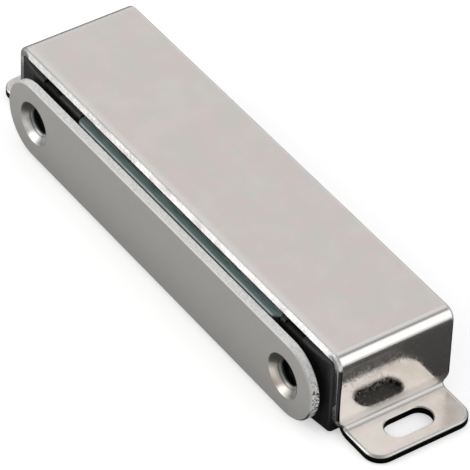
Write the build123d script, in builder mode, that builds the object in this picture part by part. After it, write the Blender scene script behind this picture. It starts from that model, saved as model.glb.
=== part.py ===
from build123d import *
from math import copysign, cos, radians, sin
import os

# A surface-mounted magnetic catch, with its strike plate held on the front by the magnet.
# Frame: X runs along the body, -Y points out of the front towards the strike, +Z is up.
# The origin is midway between the two fixing slots, on the mounting plane under the tabs.

# Housing: one sheet, folded into a top, two end walls and two fixing tabs.
sheet = 1.2
body_length = 80.0
body_depth = 19.0
body_height = 14.0
top_bend_radius = 0.6  # inside of the two bends at the top
root_bend_radius = 0.8  # hollow side of the two bends into the tabs
edge_rounding = 0.5  # polished arris round the outside of the sheet
slot_chamfer = 0.15
tab_reach = 7.5  # end wall to the end of the tab
tab_set_in = 1.1  # tab side, inwards of the wall's side
tab_corner_radius = 2.6
shoulder_turn = 65.0  # degrees that a wall's bottom corner turns before it meets the tab
shoulder_root_radius = 0.4
slot_length = 7.5
slot_width = 3.8
slot_from_wall = 3.5

# Carrier: the moulded insert that fills the housing.
carrier_fit = 0.05  # gap to the sheet, each side
carrier_lift = 0.2  # underside above the mounting plane
carrier_proud = 0.8  # front face ahead of the sheet's edge
carrier_end_proud = 0.25  # what is left of that at the end walls
carrier_taper_length = 4.5
carrier_set_back = 0.6  # rear face inside the sheet's rear edge
carrier_corner_radius = 0.6
carrier_taper_radius = 9.0  # softens the bend in the front face where the taper starts
carrier_edge_rounding = 0.25
carrier_floor = 0.8
carrier_back_wall = 1.8
core_wall = 1.6
core_rib = 1.4
core_roof = 2.0
core_pitch = 7.0  # a core's width that the moulding aims at
core_rows = 2
core_corner_radius = 0.8
notch_length = 4.2
notch_height = 0.45
notch_depth = 1.6
notch_spacing = 60.4

# Magnet pack: a ferrite block between two pole plates.
pole_length = 49.6
pole_thickness = 1.6
pole_proud = 1.5  # front edge ahead of the sheet's edge
pole_corner_radius = 1.2
pole_edge_chamfer = 0.2
pack_offset = 2.2  # the pack sits towards +X in the body
pack_fit = 0.15  # gap to the pocket's walls
pack_top_gap = 0.1  # gap to the sheet above
magnet_set_back = 2.0  # magnet's front behind the poles' front
magnet_rear_set_in = 0.5
magnet_end_set_in = 1.0
magnet_chamfer = 0.5

# Strike plate: an obround bar with two countersunk holes.
strike_length = 76.2
strike_thickness = 1.5
strike_below_poles = 0.9  # lower edge under the lower pole's underside
strike_below_top = 0.2  # upper edge under the upper pole's top
strike_gap = 0.05  # air left between the strike and the poles
strike_edge_chamfer = 0.2
strike_hole_spacing = 62.8
strike_hole_diameter = 3.9
countersink_diameter = 6.9
countersink_angle = 100.0

# Levels and faces that more than one piece uses.
wall_outside = body_length / 2
wall_inside = wall_outside - sheet
roof = body_height - sheet
front_edge = -body_depth / 2
rear_edge = body_depth / 2
tab_end = wall_outside + tab_reach
carrier_end = wall_inside - carrier_fit
carrier_top = roof - carrier_fit
carrier_front = front_edge - carrier_proud
carrier_end_front = front_edge - carrier_end_proud
carrier_rear = rear_edge - carrier_set_back
pocket_rear = carrier_rear - carrier_back_wall
pocket_left = pack_offset - pole_length / 2 - pack_fit
pocket_right = pack_offset + pole_length / 2 + pack_fit
pole_front = front_edge - pole_proud
pole_rear = pocket_rear - pack_fit
upper_pole_top = roof - pack_top_gap
upper_pole_bottom = upper_pole_top - pole_thickness
lower_pole_bottom = carrier_lift + carrier_floor
lower_pole_top = lower_pole_bottom + pole_thickness
strike_back = pole_front - strike_gap
strike_front = strike_back - strike_thickness
strike_bottom = lower_pole_bottom - strike_below_poles
strike_top = upper_pole_top - strike_below_top
strike_height = strike_top - strike_bottom

os.makedirs("parts", exist_ok=True)


def is_outside(face: Face) -> bool:
    """Tell the faces on the outside of the folded sheet from its inside and its cut edges."""
    middle = face.center()
    outwards = Vector(copysign(1, middle.X), 0, 1)
    least_lean = 0.5  # faces on the inside and the two long sides lean less than this outwards
    above_cut_ends = middle.Z > (sheet / 2 + sheet) / 2  # the tabs' ends lean outwards too
    return above_cut_ends and face.normal_at().dot(outwards) > least_lean


# Housing
with BuildPart() as housing:
    # The folded section, from the middle of the top out to the right-hand tab, then mirrored.
    with BuildSketch(Plane.XZ.offset(-rear_edge)) as section:
        with BuildLine():
            outside = FilletPolyline(
                (0, body_height),
                (wall_outside, body_height),
                (wall_outside, sheet),
                (tab_end, sheet),
                radius=[top_bend_radius + sheet, root_bend_radius],
            )
            inside = FilletPolyline(
                (0, roof),
                (wall_inside, roof),
                (wall_inside, 0),
                (tab_end, 0),
                radius=[top_bend_radius, root_bend_radius + sheet],
            )
            Line(outside @ 0, inside @ 0)
            Line(outside @ 1, inside @ 1)
        make_face()
        mirror(about=Plane.YZ)
    extrude(amount=body_depth)

    # Each wall's bottom corners turn inwards in an S to the narrower tab.
    shoulder_radius = tab_set_in / (1 - cos(radians(shoulder_turn))) - shoulder_root_radius
    shoulder_drop = (shoulder_radius + shoulder_root_radius) * sin(radians(shoulder_turn))
    with BuildSketch(Plane.YZ.offset(-tab_end)):
        with BuildLine():
            corner = JernArc(
                (rear_edge, sheet + shoulder_drop), (0, -1), shoulder_radius, -shoulder_turn
            )
            root = JernArc(corner @ 1, corner % 1, shoulder_root_radius, shoulder_turn)
            Polyline(
                root @ 1,
                ((root @ 1).X, -sheet),
                (body_depth, -sheet),
                (body_depth, (corner @ 0).Y),
                corner @ 0,
            )
        make_face()
        mirror(about=Plane.YZ)
    extrude(amount=2 * tab_end, mode=Mode.SUBTRACT)

    # Rounded tab corners, and a soft arris that follows the sheet's edge all round its outside.
    tab_corners = housing.edges().filter_by(Axis.Z).group_by(lambda edge: abs(edge.center().X))[-1]
    fillet(tab_corners, tab_corner_radius)
    outside_edges = [edge for face in housing.faces().filter_by(is_outside) for edge in face.edges()]
    fillet([edge for edge in outside_edges if outside_edges.count(edge) == 1], edge_rounding)

    # Fixing slots, which run across the body, with their upper rims broken.
    with BuildSketch():
        with Locations((-wall_outside - slot_from_wall, 0), (wall_outside + slot_from_wall, 0)):
            SlotOverall(slot_length, slot_width, rotation=90)
    extrude(amount=sheet, mode=Mode.SUBTRACT)
    chamfer(housing.edges(Select.LAST).group_by(Axis.Z)[-1], slot_chamfer)
housing.part.label = "housing"
export_step(housing.part, "parts/housing.step")


# Magnet carrier
with BuildPart() as magnet_carrier:
    # Plan with a front that tapers back to the sheet's edge at both ends.
    with BuildSketch(Plane.XY.offset(carrier_lift)):
        with BuildLine():
            half_plan = Polyline(
                (0, carrier_rear),
                (carrier_end, carrier_rear),
                (carrier_end, carrier_end_front),
                (carrier_end - carrier_taper_length, carrier_front),
                (0, carrier_front),
            )
            Line(half_plan @ 1, half_plan @ 0)
        make_face()
        mirror(about=Plane.YZ)
    extrude(amount=carrier_top - carrier_lift)
    uprights = magnet_carrier.edges().filter_by(Axis.Z).group_by(lambda edge: abs(edge.center().X))
    fillet(uprights[-1], carrier_corner_radius)
    fillet(uprights[-2], carrier_taper_radius)

    # The top's end edges clear the inside of the sheet's bends, and the other edges are softened.
    top_edges = magnet_carrier.faces().sort_by(Axis.Z)[-1].edges()
    end_edges = top_edges.filter_by(Axis.Y)
    fillet(end_edges, top_bend_radius + 2 * carrier_fit)
    fillet(magnet_carrier.faces().sort_by(Axis.Z)[0].edges(), carrier_edge_rounding)

    # Pocket for the magnet pack, open at the front and the top.
    with BuildSketch(Plane.XY.offset(lower_pole_bottom)):
        with Locations((pack_offset, pocket_rear)):
            Rectangle(
                pocket_right - pocket_left,
                pocket_rear - carrier_front,
                align=(Align.CENTER, Align.MAX),
            )
    extrude(amount=carrier_top - lower_pole_bottom, mode=Mode.SUBTRACT)

    # Cores from below leave even walls and ribs in the blocks at each end of the pocket.
    core_front = carrier_end_front + core_wall
    core_depth = carrier_rear - core_wall - core_front
    cell_depth = (core_depth + core_rib) / core_rows - core_rib
    for block_left, block_right in ((-carrier_end, pocket_left), (pocket_right, carrier_end)):
        core_width = block_right - block_left - 2 * core_wall
        columns = max(1, round(core_width / core_pitch))
        cell_width = (core_width + core_rib) / columns - core_rib
        with BuildSketch(Plane.XY.offset(carrier_lift)):
            with Locations(((block_left + block_right) / 2, core_front + core_depth / 2)):
                with GridLocations(cell_width + core_rib, cell_depth + core_rib, columns, core_rows):
                    RectangleRounded(cell_width, cell_depth, core_corner_radius)
        extrude(amount=carrier_top - core_roof - carrier_lift, mode=Mode.SUBTRACT)

    # Shallow notches under the sheet's front edge, one at each end.
    with BuildSketch(Plane.XY.offset(carrier_top)):
        with Locations((-notch_spacing / 2, carrier_front), (notch_spacing / 2, carrier_front)):
            Rectangle(notch_length, 2 * notch_depth)
    extrude(amount=-notch_height, mode=Mode.SUBTRACT)
magnet_carrier.part.label = "magnet_carrier"
export_step(magnet_carrier.part, "parts/magnet_carrier.step")


# Pole plates, alike, above and below the magnet
for pole_name, pole_bottom in (
    ("lower_pole_plate", lower_pole_bottom),
    ("upper_pole_plate", upper_pole_bottom),
):
    with BuildPart() as pole_plate:
        with BuildSketch(Plane.XY.offset(pole_bottom)):
            with Locations((pack_offset, (pole_front + pole_rear) / 2)):
                RectangleRounded(pole_length, pole_rear - pole_front, pole_corner_radius)
        extrude(amount=pole_thickness)
        chamfer(pole_plate.faces().filter_by(Axis.Z).edges(), pole_edge_chamfer)
    pole_plate.part.label = pole_name
    export_step(pole_plate.part, f"parts/{pole_name}.step")


# Ferrite magnet
with BuildPart() as ferrite_magnet:
    magnet_front = pole_front + magnet_set_back
    magnet_rear = pole_rear - magnet_rear_set_in
    with BuildSketch(Plane.XY.offset(lower_pole_top)):
        with Locations((pack_offset, (magnet_front + magnet_rear) / 2)):
            Rectangle(pole_length - 2 * magnet_end_set_in, magnet_rear - magnet_front)
    extrude(amount=upper_pole_bottom - lower_pole_top)
    chamfer(ferrite_magnet.edges().filter_by(Axis.Z), magnet_chamfer)
ferrite_magnet.part.label = "ferrite_magnet"
export_step(ferrite_magnet.part, "parts/ferrite_magnet.step")


# Strike plate, drawn on its outer face, with the countersinks outwards
strike_face = Plane(
    origin=(0, strike_front, (strike_bottom + strike_top) / 2), x_dir=(1, 0, 0), z_dir=(0, -1, 0)
)
with BuildPart() as strike_plate:
    with BuildSketch(strike_face):
        SlotOverall(strike_length, strike_height)
    extrude(amount=-strike_thickness)
    chamfer(strike_plate.faces().filter_by(Axis.Y).edges(), strike_edge_chamfer)
    with Locations(strike_face):
        with GridLocations(strike_hole_spacing, strike_height, 2, 1):
            CounterSinkHole(
                strike_hole_diameter / 2,
                countersink_diameter / 2,
                counter_sink_angle=countersink_angle,
            )
strike_plate.part.label = "strike_plate"
export_step(strike_plate.part, "parts/strike_plate.step")
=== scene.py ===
from math import cos, pi, radians, sin

import bmesh
import bpy
from bpy.props import FloatProperty, FloatVectorProperty, PointerProperty
from mathutils import Color, Matrix, Vector


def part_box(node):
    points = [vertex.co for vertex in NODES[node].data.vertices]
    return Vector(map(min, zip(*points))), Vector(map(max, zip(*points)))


bl_info = {
    "name": "Magnetic Catch Finishes",
    "version": (1, 0, 0),
    "blender": (4, 5, 0),
    "location": "3D View > Sidebar > Catch",
    "description": "Gives each piece of a magnetic catch its finish, and sets it on a lit stage",
    "category": "Object",
}

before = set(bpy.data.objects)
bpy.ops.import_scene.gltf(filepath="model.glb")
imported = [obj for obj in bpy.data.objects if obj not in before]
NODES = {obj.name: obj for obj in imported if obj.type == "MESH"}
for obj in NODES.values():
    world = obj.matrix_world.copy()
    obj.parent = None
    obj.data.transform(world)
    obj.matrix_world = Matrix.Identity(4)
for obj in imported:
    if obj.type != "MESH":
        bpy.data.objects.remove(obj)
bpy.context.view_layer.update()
MM = 0.001

# Levels and edges of the catch, in millimetres, read from its solids.
HOUSING_LOW, HOUSING_HIGH = (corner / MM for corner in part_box("housing"))
STRIKE_LOW, STRIKE_HIGH = (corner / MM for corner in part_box("strike_plate"))
POLE_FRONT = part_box("upper_pole_plate")[0].y / MM

# The housing's folded sheet, in millimetres.
SHEET = 1.2
ROOT_TOP = 3.2  # height where the bend into a tab ends
TOP_BEND = 1.8  # depth of the bends at the top's ends
BEND_FOOT = HOUSING_HIGH.z - TOP_BEND
WALL_OUTSIDE = 40.0  # from the middle to the outside of an end wall
EDGE_ROUND = 0.5
ROLL_BLEND = 0.3
ROLL_OVER = 0.8  # slope that shearing gave to the cut face of the top's long edges
MARK_DEPTH = 0.0014  # of the grain and the scratches

# The strike plate's holes, in millimetres.
STRIKE_HOLE_X = 31.4
STRIKE_MIDDLE_Z = (STRIKE_LOW.z + STRIKE_HIGH.z) / 2
BORE_RADIUS = 1.95
COUNTERSINK_RADIUS = 3.45
TURNING_PITCH = 0.38
DISH = 14.0  # how steeply the countersinks' dish deepens from its middle

# The round floor and its backdrop, in metres.
FLOOR_LEVEL = -0.0002
FLOOR_RADIUS = 3.0
FLOOR_SEGMENTS = 96
BACKDROP_HEIGHT = 1.2
COVE = 0.6
COVE_STEPS = 12
WELD = 1e-5  # corners closer than this are joined where the floor's turn closes

# The cards on the floor, in metres: beside the catch, and before the strike plate.
CARD_SIDE = 0.16
CARD_REAR = 0.13
CARD_FRONT = -0.13
FRONT_CARDS_END = 0.0385
NEAR_CARD_DEPTH = 0.005
WHITE_CARD_DEPTH = 0.01

# The camera's sensor, in millimetres, and its nearest view, in metres.
SENSOR_WIDTH = 36.0
NEAREST_VIEW = 0.01


def size(name, about, default, **options):
    """A size, a level or a share that a user can change."""
    return FloatProperty(name=name, description=about, default=default, min=0.0, **options)


def colour(name, about, default):
    """A colour that a user can change."""
    return FloatVectorProperty(
        name=name, description=about, default=default, subtype="COLOR", size=3, min=0.0, max=1.0
    )


# ---------------------------------------------------------------------------
# Settings
# ---------------------------------------------------------------------------


class StageSettings(bpy.types.PropertyGroup):
    """The camera, the floor and the lamps."""

    azimuth: FloatProperty(
        name="Azimuth",
        description="Camera's turn about the vertical, from straight in front",
        default=radians(54.25),
        subtype="ANGLE",
    )
    elevation: FloatProperty(
        name="Elevation",
        description="Camera's height as an angle above the floor",
        default=radians(41.11),
        subtype="ANGLE",
    )
    roll: FloatProperty(
        name="Roll",
        description="Camera's tilt about its own line of sight",
        default=radians(2.23),
        subtype="ANGLE",
    )
    distance: size("Distance", "Camera to the point that it looks at", 0.5805, unit="LENGTH")
    lens: size("Lens", "Focal length, for a sensor 36 mm wide", 316.8, unit="CAMERA")
    aim: FloatVectorProperty(
        name="Aim",
        description="Point that the camera looks at",
        default=(0.00218, -0.00029, 0.00418),
        subtype="XYZ",
        unit="LENGTH",
    )
    floor_colour: colour("Floor", "Paint of the floor and the backdrop", (0.9, 0.9, 0.9))
    floor_glow: size("Floor Glow", "Light of its own that keeps the floor white", 0.5)
    backdrop_glow: size("Backdrop Glow", "Further light that keeps the backdrop white", 0.45)
    dark_card: colour("Dark Card", "Card that the polished ends mirror", (0.095, 0.091, 0.087))
    near_card: colour("Near Card", "Card at the foot of the strike plate", (0.25, 0.25, 0.25))
    white_card: colour("White Card", "Card before the near one", (0.9, 0.9, 0.9))
    grey_card: colour("Grey Card", "Card before both", (0.4, 0.4, 0.4))
    world_level: size("World", "Level of the light from all round", 0.3)
    key_level: size("Key Lamp", "Brightness of the lamp over the right-hand end", 1.0)
    sky_level: size("Sky Lamp", "Brightness of the lamp over the top", 0.47)
    front_level: size("Front Lamp", "Brightness of the lamp at the front left", 1.9)


class HousingSettings(bpy.types.PropertyGroup):
    """The folded stainless sheet."""

    warm_steel: colour("Warm Steel", "Steel where it leans to pink", (0.785, 0.69, 0.68))
    cool_steel: colour("Cool Steel", "Steel where it leans to green", (0.72, 0.71, 0.665))
    pale_steel: colour("Pale Steel", "Steel of the top's paler patches", (0.86, 0.825, 0.805))
    polished_steel: colour("Polished Steel", "Steel of the bends and end walls", (0.81, 0.795, 0.775))
    # Painted shade: darker steel in the bends into the tabs.
    shaded_root_steel: colour("Root Steel", "Steel of the bends into the tabs", (0.6, 0.585, 0.56))
    smudged_steel: colour("Smudged Steel", "Steel of the tabs where it is smudged", (0.61, 0.55, 0.49))
    # Painted highlight: pale steel laid along the top's front edge and right-hand bend.
    highlight_steel: colour("Rubbed Steel", "Steel beside the front edge and the bends", (0.9, 0.885, 0.86))
    frosted_edge: colour("Frosted Edge", "Cut steel of the top's long edges", (0.65, 0.645, 0.635))
    # Darker steel on the top's long edges, towards the left and in patches.
    darker_edge: colour("Dull Edge", "The same edges to the left and in patches", (0.36, 0.35, 0.34))
    # Painted shade: dark steel on the top's left-hand bend.
    shaded_bend_steel: colour("Dull Bend", "Steel of the top's left-hand bend", (0.3, 0.295, 0.285))
    # Painted shade: near-black steel on the cut edges and arrises of the walls and the tabs.
    shaded_edge: colour("Burnt Edge", "Cut steel of the walls and the tabs", (0.03, 0.03, 0.029))
    # Painted highlight: a pale strip up the middle of each wall's cut edge.
    highlight_edge: colour("Bared Edge", "Cut steel of the walls between arrises", (0.8, 0.8, 0.785))
    satin_roughness: size("Satin Roughness", "Roughness of the flat top", 0.36, max=1.0)
    tab_roughness: size("Tab Roughness", "Roughness of the flat tabs", 0.24, max=1.0)
    polish_roughness: size("Polish Roughness", "Roughness of the end walls", 0.065, max=1.0)
    bend_roughness: size("Bend Roughness", "Roughness at and under the bends", 0.24, max=1.0)
    root_roughness: size("Root Roughness", "Roughness of the bends into the tabs", 0.4, max=1.0)
    cut_roughness: size("Cut Roughness", "Roughness of the top's long edges", 0.5, max=1.0)


class CarrierSettings(bpy.types.PropertyGroup):
    """The black moulded insert."""

    plastic: colour("Plastic", "Moulded plastic", (0.012, 0.013, 0.013))
    # Paler plastic in flecks along the upright streaks.
    streak_tone: colour("Scuff", "Plastic where it is rubbed", (0.05, 0.052, 0.05))
    roughness: size("Roughness", "Roughness of the moulded skin", 0.38, max=1.0)


class PoleSettings(bpy.types.PropertyGroup):
    """The two pole plates."""

    green_zinc: colour("Green Zinc", "Zinc plate where it leans to green", (0.075, 0.112, 0.105))
    blue_zinc: colour("Blue Zinc", "Zinc plate where it leans to blue", (0.098, 0.13, 0.14))
    # Painted highlight: paler zinc along the front arris.
    arris_highlight_zinc: colour("Bright Zinc", "Zinc plate of the front arris", (0.15, 0.188, 0.178))
    rubbed_zinc: colour("Rubbed Zinc", "Zinc plate along the streaks", (0.19, 0.26, 0.25))
    worn_zinc: colour("Worn Zinc", "Zinc plate where the strike lands", (0.5, 0.51, 0.49))
    roughness: size("Roughness", "Roughness of the zinc plate", 0.3, max=1.0)


class MagnetSettings(bpy.types.PropertyGroup):
    """The ferrite block."""

    ferrite: colour("Ferrite", "Ground ferrite", (0.07, 0.07, 0.074))
    dust: colour("Dust", "Dust in the ferrite's pores", (0.13, 0.127, 0.12))
    roughness: size("Roughness", "Roughness of the ground faces", 0.6, max=1.0)


class StrikeSettings(bpy.types.PropertyGroup):
    """The strike plate."""

    satin_steel: colour("Satin Steel", "Plated steel of the faces", (0.49, 0.48, 0.453))
    turned_steel: colour("Turned Steel", "Steel of the countersinks", (0.78, 0.77, 0.745))
    # Painted shade: dark steel at the countersinks' upper left, lower right and beside the bores.
    countersink_shade: colour("Dulled Steel", "Steel of the countersinks' dull parts", (0.12, 0.135, 0.13))
    stained_steel: colour("Stained Steel", "Steel of the right-hand countersink", (0.7, 0.63, 0.56))
    arris: colour("Arris", "Steel where the rim meets the faces", (0.62, 0.615, 0.595))
    sheen: size("Sheen", "Share of mirror-like light in the faces and the rim", 0.35, max=1.0)
    sheared_steel: colour("Sheared Steel", "Steel of the cut rim", (0.96, 0.96, 0.94))
    speckle: colour("Speckle", "Steel of the cut rim where it is grained", (0.78, 0.78, 0.76))
    # Dark steel for the pits of the tears, and also painted shade on the rim's downward arrises and
    # rear.
    pit_and_shade: colour("Pit", "Bottom of the tears in the cut rim", (0.04, 0.04, 0.04))
    roughness: size("Roughness", "Roughness of the faces", 0.52, max=1.0)
    rim_roughness: size("Rim Roughness", "Roughness of the cut rim", 0.45, max=1.0)
    turned_roughness: size("Turned Roughness", "Roughness of the countersinks", 0.34, max=1.0)


class CatchSettings(bpy.types.PropertyGroup):
    """The settings of every step, each under its operator's own name."""

    stage: PointerProperty(type=StageSettings)
    housing: PointerProperty(type=HousingSettings)
    carrier: PointerProperty(type=CarrierSettings)
    poles: PointerProperty(type=PoleSettings)
    magnet: PointerProperty(type=MagnetSettings)
    strike: PointerProperty(type=StrikeSettings)


# ---------------------------------------------------------------------------
# Finishes
# ---------------------------------------------------------------------------


class Shading:
    """A material's node tree, with short calls for the nodes that the materials share."""

    def __init__(self, name):
        self.material = bpy.data.materials.new(name)
        self.material.use_nodes = True
        self.tree = self.material.node_tree
        self.shader = self.tree.nodes["Principled BSDF"]

    def add(self, kind, **settings):
        """A node of that kind, with its settings."""
        node = self.tree.nodes.new(kind)
        for name, value in settings.items():
            setattr(node, name, value)
        return node

    def feed(self, socket, value):
        """Links an output to a socket, or sets the socket to a constant."""
        if isinstance(value, bpy.types.NodeSocket):
            self.tree.links.new(value, socket)
        elif isinstance(value, (tuple, Color)):
            socket.default_value = (*value, 1.0) if len(socket.default_value) == 4 else value
        else:
            socket.default_value = value

    def set(self, **sockets):
        """Sets or links the shader's own sockets, by their names with _ for a space."""
        for name, value in sockets.items():
            self.feed(self.shader.inputs[name.replace("_", " ")], value)

    def split(self, vector):
        """The three components of a vector."""
        node = self.add("ShaderNodeSeparateXYZ")
        self.feed(node.inputs[0], vector)
        return node.outputs

    def vector(self, operation, *values, scale=None):
        """A sum of vectors, which gives a vector."""
        node = self.add("ShaderNodeVectorMath", operation=operation)
        for socket, value in zip(node.inputs, values):
            self.feed(socket, value)
        if scale is not None:
            node.inputs["Scale"].default_value = scale
        return node.outputs["Vector"]

    def math(self, operation, *values):
        """A sum of plain numbers."""
        node = self.add("ShaderNodeMath", operation=operation)
        for socket, value in zip(node.inputs, values):
            self.feed(socket, value)
        return node.outputs[0]

    def both(self, first, second):
        """The product of two masks."""
        return self.math("MULTIPLY", first, second)

    def either(self, first, second):
        """The larger of two masks."""
        return self.math("MAXIMUM", first, second)

    def ramp(self, value, low, high, to_low=0.0, to_high=1.0, interpolation="SMOOTHSTEP"):
        """Goes from to_low, where value is at low, to to_high, where it is at high."""
        node = self.add("ShaderNodeMapRange", interpolation_type=interpolation)
        self.feed(node.inputs["Value"], value)
        self.feed(node.inputs["From Min"], low)
        self.feed(node.inputs["From Max"], high)
        self.feed(node.inputs["To Min"], to_low)
        self.feed(node.inputs["To Max"], to_high)
        return node.outputs["Result"]


class Finish(Shading):
    """A finish of one of the catch's pieces, laid out by place in millimetres and by lean."""

    def __init__(self, name):
        super().__init__(name)
        coordinates = self.add("ShaderNodeTexCoord")
        self.place = self.vector("SCALE", coordinates.outputs["Object"], scale=1 / MM)
        self.x, self.y, self.z = self.split(self.place)
        self.lean_x, self.lean_y, self.lean_z = self.split(coordinates.outputs["Normal"])

    def blend(self, mask, first, second):
        """One colour where the mask is 0, and the other where it is 1."""
        node = self.add("ShaderNodeMix", data_type="RGBA")
        self.feed(node.inputs["Factor"], mask)
        self.feed(node.inputs[6], first)
        self.feed(node.inputs[7], second)
        return node.outputs[2]

    def between(self, mask, first, second):
        """One number where the mask is 0, and the other where it is 1."""
        node = self.add("ShaderNodeMix", data_type="FLOAT")
        self.feed(node.inputs["Factor"], mask)
        self.feed(node.inputs[2], first)
        self.feed(node.inputs[3], second)
        return node.outputs[0]

    def noise(self, per_mm, detail=2.0, stretch=(1.0, 1.0, 1.0), offset=0.0):
        """Noise with about per_mm spots in a millimetre, drawn out where stretch is under 1."""
        spot = self.vector("MULTIPLY", self.place, stretch)
        if offset:
            spot = self.vector("ADD", spot, (offset, offset, offset))
        node = self.add("ShaderNodeTexNoise")
        self.feed(node.inputs["Vector"], spot)
        node.inputs["Scale"].default_value = per_mm
        node.inputs["Detail"].default_value = detail
        return node.outputs[0]

    def bump(self, height, depth_mm, strength=1.0):
        """A bump whose full height is depth_mm, into the shader's normal."""
        node = self.add("ShaderNodeBump")
        node.inputs["Strength"].default_value = strength
        node.inputs["Distance"].default_value = depth_mm * MM
        self.feed(node.inputs["Height"], height)
        self.feed(self.shader.inputs["Normal"], node.outputs["Normal"])

    def dress(self, node_name):
        """Gives the finish to one of the catch's solids."""
        piece = NODES[node_name]
        piece.data.materials.clear()
        piece.data.materials.append(self.material)


class SheetFinish(Finish):
    """The housing's steel, with masks for the regions of its folded sheet."""

    def __init__(self, name):
        super().__init__(name)
        middle = HOUSING_HIGH.z / 2
        self.leans_out = self.math("ABSOLUTE", self.lean_y)
        self.faces_up = self.ramp(self.lean_z, 0.996, 0.9998)
        self.is_top = self.ramp(self.z, middle, middle + 1.0)
        self.is_high = self.ramp(self.z, BEND_FOOT - 0.4, BEND_FOOT + 0.2)
        self.is_bend = self.ramp(self.z, BEND_FOOT, BEND_FOOT + 0.6)
        self.is_root = self.ramp(self.z, ROOT_TOP + 0.4, ROOT_TOP - 0.6)
        self.grain = self.noise(9.0, detail=4.0, stretch=(0.06, 1.0, 1.0))
        self.shear = self.noise(2.2, detail=4.0, stretch=(1.0, 0.3, 1.0), offset=5.0)

    def flats(self, settings):
        """Steel that leans to pink and to green, with paler patches, and smudges on the tabs."""
        clouds = self.ramp(self.noise(0.2, detail=2.0), 0.35, 0.65)
        blotches = self.ramp(self.noise(0.6, detail=3.0, offset=11.0), 0.35, 0.65)
        tint = self.math("MULTIPLY", self.math("ADD", clouds, blotches), 0.5)
        skin = self.blend(tint, settings.warm_steel, settings.cool_steel)
        pale = self.ramp(self.noise(0.22, detail=5.0, offset=71.0), 0.42, 0.75, 0.0, 0.28)
        skin = self.blend(pale, skin, settings.pale_steel)
        smudges = self.ramp(self.noise(0.35, detail=5.0, offset=51.0), 0.3, 0.7, 0.3, 1.0)
        is_tab = self.ramp(self.z, ROOT_TOP + 1.0, ROOT_TOP)
        to_rear = self.ramp(self.y, -3.0, 5.0, 0.35, 1.0)
        smudged = self.both(smudges, self.both(is_tab, to_rear))
        return self.blend(smudged, skin, settings.smudged_steel)

    def polish_and_highlight(self, skin, settings):
        """Polishes what doesn't face up, and paints a highlight on the top along its front edge and
        right-hand bend.
        """
        # Painted highlight on the top along its front edge.
        front_highlight = self.ramp(self.y, HOUSING_LOW.y + 1.8, HOUSING_LOW.y + 0.4, 0.0, 0.6)
        skin = self.blend(self.both(self.is_top, front_highlight), skin, settings.highlight_steel)
        skin = self.blend(self.faces_up, settings.polished_steel, skin)
        # Painted highlight along the right-hand bend, where the top turns down.
        turns_down = self.both(self.ramp(self.lean_z, 1.0, 0.9985), self.ramp(self.lean_z, 0.965, 0.99))
        to_top = self.ramp(self.z, HOUSING_HIGH.z / 2, HOUSING_HIGH.z, 0.0, 0.6)
        off_left = self.ramp(self.lean_x, -0.08, -0.02)
        bend_highlight = self.both(self.both(turns_down, to_top), off_left)
        return self.blend(bend_highlight, skin, settings.highlight_steel)

    def shaded(self, skin, settings):
        """Paints shade into the bends into the tabs and onto the top's left-hand bend, and frosts its
        long edges, darker towards the left and in patches.
        """
        # Painted shade in the bends into the tabs.
        in_root = self.both(self.ramp(self.lean_z, 0.98, 0.85), self.ramp(self.lean_z, 0.1, 0.3))
        skin = self.blend(self.both(self.is_root, in_root), skin, settings.shaded_root_steel)
        patches = self.ramp(self.noise(0.3, detail=4.0, offset=61.0), 0.3, 0.55, 0.35, 1.0)
        # The long edges go darker towards the left and in patches.
        to_right = self.ramp(self.x, HOUSING_LOW.x, 0.0, 0.35, 1.0)
        edge = self.blend(self.both(patches, to_right), settings.darker_edge, settings.frosted_edge)
        is_frosted = self.both(self.ramp(self.leans_out, 0.2, 0.5), self.is_high)
        skin = self.blend(is_frosted, skin, edge)
        # Painted shade on the top's left-hand bend.
        at_left = self.both(self.ramp(self.lean_x, -0.06, -0.3), self.is_bend)
        return self.blend(at_left, skin, settings.shaded_bend_steel)

    def shade_edges(self, skin, settings):
        """Paints shade on the cut edges of the walls and the tabs, with a painted highlight on a strip
        up each wall.
        """
        # Painted shade: near black on the cut edges and arrises of the walls and on the tabs' sides.
        is_low = self.math("SUBTRACT", 1.0, self.is_high)
        is_cut = self.both(self.ramp(self.leans_out, 0.93, 0.99), is_low)
        above_root = self.ramp(self.z, ROOT_TOP - 0.6, ROOT_TOP)
        is_wall = self.both(above_root, self.ramp(self.z, BEND_FOOT + 0.3, BEND_FOOT - 0.3))
        is_arris = self.both(self.ramp(self.leans_out, 0.12, 0.25), is_wall)
        below_skin = self.ramp(self.z, SHEET - 0.05, SHEET - 0.25)
        is_tab_side = self.both(below_skin, self.ramp(self.lean_z, 0.5, 0.3))
        is_shaded = self.either(is_tab_side, self.either(is_cut, is_arris))
        skin = self.blend(is_shaded, skin, settings.shaded_edge)
        # Painted highlight: a pale strip up the middle of each wall's cut edge.
        is_highlit = self.both(self.ramp(self.leans_out, 0.96, 0.99), is_wall)
        return self.blend(is_highlit, skin, settings.highlight_edge)

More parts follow.
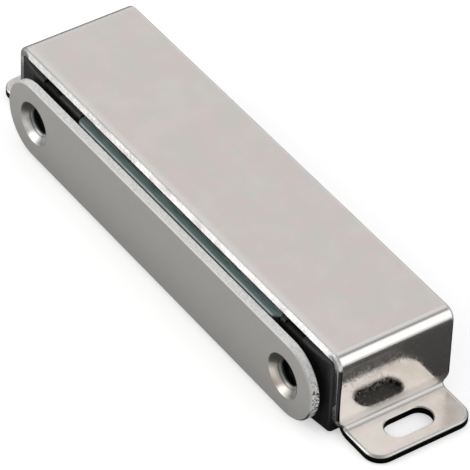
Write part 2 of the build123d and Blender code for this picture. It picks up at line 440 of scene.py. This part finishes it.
    def roughness(self, settings):
        """Satin flats with a fine grain, worn polish on the walls, and matt cut edges."""
        satin = self.between(self.is_top, settings.tab_roughness, settings.satin_roughness)
        satin = self.math("ADD", satin, self.ramp(self.grain, 0.3, 0.7, -0.03, 0.03))
        wear = self.noise(3.2, detail=5.0, offset=17.0)
        polish = self.ramp(wear, 0.4, 0.66, settings.polish_roughness, settings.polish_roughness * 3.2)
        nicks = self.ramp(self.noise(4.5, detail=2.0, offset=37.0), 0.71, 0.75)
        polish = self.between(nicks, polish, 0.6)
        is_under_bend = self.ramp(self.z, BEND_FOOT - 1.6, BEND_FOOT, 0.0, 0.8)
        polish = self.between(is_under_bend, polish, settings.bend_roughness)
        polish = self.between(self.is_root, polish, settings.root_roughness)
        polish = self.between(self.is_bend, polish, settings.bend_roughness)
        smooth = self.between(self.faces_up, polish, satin)
        matt_low, matt_high = settings.cut_roughness - 0.06, settings.cut_roughness + 0.06
        matt = self.ramp(self.shear, 0.3, 0.7, matt_low, matt_high)
        is_long_edge = self.both(self.ramp(self.leans_out, 0.02, 0.2), self.is_high)
        return self.between(is_long_edge, smooth, matt)

    def relief(self):
        """Fine marks all over, and the long edges' cut face rolled over below its round."""
        from_middle = self.math("ABSOLUTE", self.x)
        bends_start = WALL_OUTSIDE - TOP_BEND
        is_between_bends = self.ramp(from_middle, bends_start, bends_start - 0.8)
        is_edge = self.both(self.is_high, is_between_bends)
        is_cut_face = self.both(self.ramp(self.leans_out, 0.3, 0.6), is_edge)
        round_foot = HOUSING_HIGH.z - EDGE_ROUND
        below_round = self.math("SUBTRACT", round_foot + ROLL_BLEND / 2, self.z)
        below_round = self.math("SMOOTH_MAX", below_round, 0.0, ROLL_BLEND)
        rolled = self.both(is_cut_face, self.math("MULTIPLY", below_round, ROLL_OVER))
        scratches = self.noise(4.0, detail=6.0, stretch=(1.0, 1.0, 0.5), offset=29.0)
        marks = self.math("ADD", self.grain, self.math("ADD", self.shear, scratches))
        return self.math("ADD", rolled, self.math("MULTIPLY", marks, MARK_DEPTH))


def stainless(settings):
    """Stainless sheet: satin on top, polished at the bends and the ends, rough where it was cut."""
    steel = SheetFinish("stainless_sheet")
    skin = steel.flats(settings)
    skin = steel.polish_and_highlight(skin, settings)
    skin = steel.shaded(skin, settings)
    skin = steel.shade_edges(skin, settings)
    steel.set(Base_Color=skin, Metallic=1.0, Roughness=steel.roughness(settings))
    steel.bump(steel.relief(), 1.0)
    return steel


def black_plastic(settings):
    """Black moulded plastic with faint upright streaks, paler in flecks along them."""
    plastic = Finish("black_plastic")
    streaks = plastic.noise(1.4, detail=4.0, stretch=(1.0, 1.0, 0.07))
    specks = plastic.noise(6.0, detail=3.0, offset=9.0)
    lighter = plastic.both(plastic.ramp(streaks, 0.5, 0.72), plastic.ramp(specks, 0.35, 0.7))
    plastic.set(
        Base_Color=plastic.blend(lighter, settings.plastic, settings.streak_tone),
        Roughness=plastic.ramp(streaks, 0.3, 0.7, settings.roughness, settings.roughness + 0.14),
        Specular_IOR_Level=0.3,
    )
    plastic.bump(specks, 0.02, 0.4)
    return plastic


def zinc_plate(settings):
    """Zinc plate, passivated blue and green over the streaks of the rolled strip."""
    zinc = Finish("zinc_plate")
    tint = zinc.ramp(zinc.noise(0.35, detail=4.0, stretch=(0.4, 1.0, 1.0)), 0.4, 0.62)
    streaks = zinc.noise(6.0, detail=4.0, stretch=(0.06, 1.0, 1.0), offset=3.0)
    bright = zinc.ramp(streaks, 0.45, 0.62)
    skin = zinc.blend(tint, settings.green_zinc, settings.blue_zinc)
    skin = zinc.blend(bright, skin, settings.rubbed_zinc)
    # Painted highlight on the front arris and on the top near the front.
    on_arris = zinc.ramp(zinc.lean_y, -0.3, -0.6)
    near_front = zinc.ramp(zinc.y, POLE_FRONT + 1.2, POLE_FRONT + 0.2, 0.0, 0.8)
    lighter = zinc.either(on_arris, near_front)
    skin = zinc.blend(lighter, skin, settings.arris_highlight_zinc)
    is_front = zinc.ramp(zinc.lean_y, -0.9, -0.98)
    zinc.set(
        Base_Color=zinc.blend(is_front, skin, settings.worn_zinc),
        Metallic=1.0,
        Roughness=zinc.ramp(streaks, 0.3, 0.7, settings.roughness, settings.roughness + 0.2),
    )
    zinc.bump(streaks, 0.02, 0.4)
    return zinc


def ground_ferrite(settings):
    """Dark ferrite with grinding lines along it and pores."""
    ferrite = Finish("ground_ferrite")
    lines = ferrite.noise(5.0, detail=3.0, stretch=(0.05, 1.0, 1.0))
    pores = ferrite.ramp(ferrite.noise(3.5, detail=5.0, offset=21.0), 0.58, 0.68)
    ferrite.set(
        Base_Color=ferrite.blend(pores, settings.ferrite, settings.dust),
        Roughness=ferrite.ramp(lines, 0.3, 0.7, settings.roughness - 0.1, settings.roughness + 0.1),
    )
    ferrite.bump(lines, 0.01, 0.5)
    return ferrite


class StrikeFinish(Finish):
    """The strike plate's steel, with masks for its rim, countersinks and bores."""

    def __init__(self, name):
        super().__init__(name)
        self.faces_out = self.math("ABSOLUTE", self.lean_y)
        outward = self.math("SUBTRACT", self.math("ABSOLUTE", self.x), STRIKE_HOLE_X)
        self.upward = self.math("SUBTRACT", self.z, STRIKE_MIDDLE_Z)
        squares = self.math("ADD", self.both(outward, outward), self.both(self.upward, self.upward))
        self.radius = self.math("SQRT", squares)
        off_face = self.ramp(self.faces_out, 0.99, 0.9)
        inside = self.ramp(self.radius, COUNTERSINK_RADIUS + 0.05, COUNTERSINK_RADIUS - 0.05)
        self.in_hole = self.both(off_face, inside)
        in_wall = self.ramp(self.radius, BORE_RADIUS + 0.08, BORE_RADIUS + 0.02)
        self.in_bore = self.both(off_face, in_wall)
        self.on_rim = self.math("SUBTRACT", off_face, self.in_hole)
        self.speckle = self.ramp(self.noise(3.2, detail=4.0, offset=4.0), 0.42, 0.62)

    def rim(self, settings):
        """Sheared steel, speckled all over and torn at the lower right, with painted shade on its
        downward arrises and towards the rear.
        """
        tears = self.noise(3.6, detail=3.0, stretch=(1.0, 0.7, 1.0), offset=8.0)
        torn_x = self.ramp(self.x, STRIKE_HIGH.x - 8.0, STRIKE_HIGH.x - 3.0)
        torn_z = self.ramp(self.z, STRIKE_HIGH.z - 2.0, STRIKE_HIGH.z - 5.0)
        torn = self.both(self.ramp(tears, 0.5, 0.55), self.both(torn_x, torn_z))
        rim = self.blend(self.speckle, settings.sheared_steel, settings.speckle)
        rim = self.blend(torn, rim, settings.pit_and_shade)
        on_arris = self.ramp(self.faces_out, 0.3, 0.6)
        rim = self.blend(on_arris, rim, settings.arris)
        # Painted shade on the arrises that face down.
        faces_down = self.ramp(self.lean_z, -0.1, -0.3)
        rim = self.blend(self.both(on_arris, faces_down), rim, settings.pit_and_shade)
        # Painted shade on the rim where it faces the rear.
        on_rear = self.ramp(self.lean_y, 0.3, 0.6, 0.0, 0.75)
        return self.blend(on_rear, rim, settings.pit_and_shade)

    def countersinks(self, settings):
        """Turned steel, stained in the right-hand hole, with painted shade at its upper left and lower
        right and in rings beside the bore.
        """
        at_right = self.ramp(self.x, -1.0, 1.0)
        turned = self.blend(at_right, settings.turned_steel, settings.stained_steel)
        hole_x = self.math("MULTIPLY", self.math("SIGN", self.x), STRIKE_HOLE_X)
        to_right = self.math("DIVIDE", self.math("SUBTRACT", self.x, hole_x), self.radius)
        to_top = self.math("DIVIDE", self.upward, self.radius)
        # Painted shade at the upper left and the lower right of each countersink, and in rings beside
        # the bore.
        shade_top = self.ramp(self.math("SUBTRACT", to_top, to_right), 0.5, 1.3, 0.0, 0.85)
        shade_foot = self.ramp(self.math("SUBTRACT", to_right, to_top), 0.75, 1.3, 0.0, 0.75)
        beside_bore = self.ramp(self.radius, BORE_RADIUS + 1.0, BORE_RADIUS + 0.3)
        turn_marks = self.ramp(self.rings(self.radius), -0.6, 0.6, 0.7, 1.0)
        shaded = self.either(self.both(beside_bore, turn_marks), self.either(shade_top, shade_foot))
        arris = COUNTERSINK_RADIUS - 0.1
        off_arris = self.ramp(self.radius, arris - 0.2, arris, 1.0, 0.7)
        return self.blend(self.both(shaded, off_arris), turned, settings.countersink_shade)

    def rings(self, distance):
        """Waves at the pitch of the turning."""
        return self.math("SINE", self.math("MULTIPLY", distance, 2 * pi / TURNING_PITCH))

    def relief(self):
        """A slight dish in the countersinks, rings in the bores, and a pitted rim."""
        off_middle = self.math("SUBTRACT", self.radius, (BORE_RADIUS + COUNTERSINK_RADIUS) / 2)
        dish = self.math("MULTIPLY", self.both(off_middle, off_middle), DISH)
        rings = self.both(self.in_bore, self.rings(self.y))
        turning = self.both(self.in_hole, self.math("ADD", dish, rings))
        pits = self.both(self.on_rim, self.math("MULTIPLY", self.speckle, -1.0))
        return self.math("ADD", turning, pits)


def strike_steel(settings):
    """Plated steel: satin faces, a speckled sheared rim, and turned countersinks and bores."""
    steel = StrikeFinish("strike_steel")
    skin = steel.blend(steel.on_rim, settings.satin_steel, steel.rim(settings))
    skin = steel.blend(steel.in_hole, skin, steel.countersinks(settings))
    to_end = steel.ramp(steel.x, STRIKE_HIGH.x - 7.0, STRIKE_HIGH.x - 2.0)
    sheen = steel.between(steel.both(steel.on_rim, to_end), settings.sheen, 0.0)
    satin = steel.noise(0.5, detail=4.0)
    roughness = steel.ramp(satin, 0.3, 0.7, settings.roughness - 0.03, settings.roughness + 0.03)
    roughness = steel.between(steel.on_rim, roughness, settings.rim_roughness)
    steel.set(
        Base_Color=skin,
        Metallic=steel.between(steel.in_hole, sheen, 1.0),
        Roughness=steel.between(steel.in_hole, roughness, settings.turned_roughness),
    )
    steel.bump(steel.relief(), 0.02, 0.6)
    return steel


# ---------------------------------------------------------------------------
# Stage
# ---------------------------------------------------------------------------


def add_camera(settings):
    """The camera, turned about the point that it looks at."""
    turn, lift = settings.azimuth, settings.elevation
    forward = Vector((-sin(turn) * cos(lift), cos(turn) * cos(lift), -sin(lift)))
    level = Vector((cos(turn), sin(turn), 0))
    upright = level.cross(forward)
    right = cos(settings.roll) * level + sin(settings.roll) * upright
    axes = Matrix((right, right.cross(forward), -forward)).transposed()
    data = bpy.data.cameras.new("camera")
    data.sensor_width = SENSOR_WIDTH
    data.lens = settings.lens
    data.clip_start = NEAREST_VIEW
    camera = bpy.data.objects.new("camera", data)
    place = Vector(settings.aim) - forward * settings.distance
    camera.matrix_world = Matrix.Translation(place) @ axes.to_4x4()
    bpy.context.scene.collection.objects.link(camera)
    bpy.context.scene.camera = camera


def add_lamp(name, level, towards, distance, width, height):
    """A soft lamp whose face has that brightness, set in that direction from the catch."""
    data = bpy.data.lights.new(name, "AREA")
    data.shape = "RECTANGLE"
    data.size, data.size_y = width, height
    data.energy = level * pi * width * height
    lamp = bpy.data.objects.new(name, data)
    direction = Vector(towards).normalized()
    across = Vector((direction.z, 0.0, -direction.x)).normalized()
    turn = Matrix((across, direction.cross(across), direction)).transposed()
    lamp.matrix_world = Matrix.Translation(direction * distance) @ turn.to_4x4()
    bpy.context.scene.collection.objects.link(lamp)


def white_paint(settings):
    """Pale paint that glows a little for the camera, in reflections and through clear things."""
    paint = Shading("floor_paint")
    rays = paint.add("ShaderNodeLightPath").outputs
    seen = paint.either(rays["Is Camera Ray"], rays["Is Glossy Ray"])
    seen = paint.either(seen, rays["Is Transmission Ray"])
    glow = paint.math("MULTIPLY", seen, settings.floor_glow)

    # Far from the catch the lamps fall off, so the paint glows more, for the camera alone.
    coordinates = paint.add("ShaderNodeTexCoord")
    distance = paint.add("ShaderNodeVectorMath", operation="LENGTH")
    paint.feed(distance.inputs[0], coordinates.outputs["Object"])
    start, end = FLOOR_RADIUS / 6, FLOOR_RADIUS / 2
    more = paint.ramp(distance.outputs["Value"], start, end, 0.0, settings.backdrop_glow, "LINEAR")
    glow = paint.math("ADD", paint.both(more, rays["Is Camera Ray"]), glow)
    paint.set(
        Base_Color=settings.floor_colour,
        Roughness=1.0,
        Specular_IOR_Level=0.0,
        Emission_Color=(1.0, 1.0, 1.0),
        Emission_Strength=glow,
    )
    return paint.material


def add_floor(settings):
    """A round floor that curves up into a low backdrop all the way round."""
    profile = [(0.0, 0.0), (FLOOR_RADIUS - COVE, 0.0)]
    for step in range(1, COVE_STEPS + 1):
        angle = step / COVE_STEPS * pi / 2
        profile.append((FLOOR_RADIUS - COVE + COVE * sin(angle), COVE - COVE * cos(angle)))
    profile.append((FLOOR_RADIUS, BACKDROP_HEIGHT))
    mesh = bmesh.new()
    corners = [mesh.verts.new((across, 0.0, FLOOR_LEVEL + up)) for across, up in profile]
    lines = [mesh.edges.new(pair) for pair in zip(corners, corners[1:])]
    bmesh.ops.spin(
        mesh, geom=corners + lines, axis=(0, 0, 1), cent=(0, 0, 0), angle=2 * pi, steps=FLOOR_SEGMENTS
    )
    bmesh.ops.remove_doubles(mesh, verts=mesh.verts, dist=WELD)
    bmesh.ops.recalc_face_normals(mesh, faces=mesh.faces)
    data = bpy.data.meshes.new("floor")
    mesh.to_mesh(data)
    mesh.free()
    data.materials.append(white_paint(settings))
    floor = bpy.data.objects.new("floor", data)
    bpy.context.scene.collection.objects.link(floor)


def add_card(name, tone, left, right, front, rear):
    """A card on the floor that only reflections show, as a flag does in a studio."""
    data = bpy.data.meshes.new(name)
    corners = [(left, front), (right, front), (right, rear), (left, rear)]
    data.from_pydata([(x, y, FLOOR_LEVEL / 2) for x, y in corners], [], [(0, 1, 2, 3)])
    paint = Shading(name)
    paint.set(Base_Color=tone, Roughness=1.0)
    data.materials.append(paint.material)
    card = bpy.data.objects.new(name, data)
    card.visible_camera = False
    card.visible_diffuse = False
    card.visible_transmission = False
    card.visible_shadow = False
    bpy.context.scene.collection.objects.link(card)


def add_cards(settings):
    """A dark card under the catch, and a near, a white and a grey one before the strike plate."""
    near = STRIKE_LOW.y * MM
    white = near - NEAR_CARD_DEPTH
    grey = white - WHITE_CARD_DEPTH
    add_card("dark_card", settings.dark_card, -CARD_SIDE, CARD_SIDE, near, CARD_REAR)
    add_card("near_card", settings.near_card, -CARD_SIDE, FRONT_CARDS_END, white, near)
    add_card("white_card", settings.white_card, -CARD_SIDE, FRONT_CARDS_END, grey, white)
    add_card("grey_card", settings.grey_card, -CARD_SIDE, FRONT_CARDS_END, CARD_FRONT, grey)


def add_lamps(settings):
    """The key lamp over the right-hand end, the sky lamp over the top and the front lamp."""
    add_lamp(
        "key_lamp", settings.key_level,
        towards=(0.6726, 0.44, 0.595), distance=0.8, width=0.73, height=0.8,
    )
    add_lamp(
        "sky_lamp", settings.sky_level,
        towards=(-0.6405, 0.33, 0.66), distance=1.2, width=1.78, height=1.4,
    )
    add_lamp(
        "front_lamp", settings.front_level,
        towards=(-0.6, -0.74, 0.3), distance=0.8, width=1.3, height=0.56,
    )


def add_world(settings):
    """Even white light from all round."""
    world = bpy.data.worlds.new("studio")
    world.use_nodes = True
    background = world.node_tree.nodes["Background"]
    background.inputs["Color"].default_value = (1.0, 1.0, 1.0, 1.0)
    background.inputs["Strength"].default_value = settings.world_level
    bpy.context.scene.world = world


# ---------------------------------------------------------------------------
# Operators and panel
# ---------------------------------------------------------------------------


class CATCH_OT_stage(bpy.types.Operator):
    """Add the camera, the floor, its cards, the world and the lamps"""

    bl_idname = "catch.stage"
    bl_label = "Stage"

    def execute(self, context):
        settings = context.scene.catch.stage
        add_camera(settings)
        add_floor(settings)
        add_cards(settings)
        add_world(settings)
        add_lamps(settings)
        context.scene.view_settings.view_transform = "Standard"
        return {"FINISHED"}


class CATCH_OT_housing(bpy.types.Operator):
    """Finish the folded housing in satin and polished stainless steel"""

    bl_idname = "catch.housing"
    bl_label = "Housing"

    def execute(self, context):
        stainless(context.scene.catch.housing).dress("housing")
        return {"FINISHED"}


class CATCH_OT_carrier(bpy.types.Operator):
    """Finish the magnet carrier in black moulded plastic"""

    bl_idname = "catch.carrier"
    bl_label = "Magnet Carrier"

    def execute(self, context):
        black_plastic(context.scene.catch.carrier).dress("magnet_carrier")
        return {"FINISHED"}


class CATCH_OT_poles(bpy.types.Operator):
    """Finish both pole plates in passivated zinc"""

    bl_idname = "catch.poles"
    bl_label = "Pole Plates"

    def execute(self, context):
        zinc = zinc_plate(context.scene.catch.poles)
        for name in ("upper_pole_plate", "lower_pole_plate"):
            zinc.dress(name)
        return {"FINISHED"}


class CATCH_OT_magnet(bpy.types.Operator):
    """Finish the magnet in ground ferrite"""

    bl_idname = "catch.magnet"
    bl_label = "Ferrite Magnet"

    def execute(self, context):
        ground_ferrite(context.scene.catch.magnet).dress("ferrite_magnet")
        return {"FINISHED"}


class CATCH_OT_strike(bpy.types.Operator):
    """Finish the strike plate in satin steel with a sheared rim and turned countersinks"""

    bl_idname = "catch.strike"
    bl_label = "Strike Plate"

    def execute(self, context):
        strike_steel(context.scene.catch.strike).dress("strike_plate")
        return {"FINISHED"}


OPERATORS = (
    CATCH_OT_stage,
    CATCH_OT_housing,
    CATCH_OT_carrier,
    CATCH_OT_poles,
    CATCH_OT_magnet,
    CATCH_OT_strike,
)


class CATCH_PT_finishes(bpy.types.Panel):
    """Lists the steps in the sidebar, each with its settings"""

    bl_idname = "CATCH_PT_finishes"
    bl_label = "Magnetic Catch"
    bl_space_type = "VIEW_3D"
    bl_region_type = "UI"
    bl_category = "Catch"

    def draw(self, context):
        for operator in OPERATORS:
            self.layout.operator(operator.bl_idname)
            step = operator.bl_idname.split(".")[1]
            settings = getattr(context.scene.catch, step)
            column = self.layout.column()
            for name in type(settings).__annotations__:
                column.prop(settings, name)


CLASSES = (
    StageSettings,
    HousingSettings,
    CarrierSettings,
    PoleSettings,
    MagnetSettings,
    StrikeSettings,
    CatchSettings,
    *OPERATORS,
    CATCH_PT_finishes,
)


def register():
    for cls in CLASSES:
        bpy.utils.register_class(cls)
    bpy.types.Scene.catch = PointerProperty(type=CatchSettings)


def unregister():
    del bpy.types.Scene.catch
    for cls in reversed(CLASSES):
        bpy.utils.unregister_class(cls)


def main():
    register()
    bpy.ops.catch.stage()
    bpy.ops.catch.housing()
    bpy.ops.catch.carrier()
    bpy.ops.catch.poles()
    bpy.ops.catch.magnet()
    bpy.ops.catch.strike()


if __name__ == "__main__":
    main()
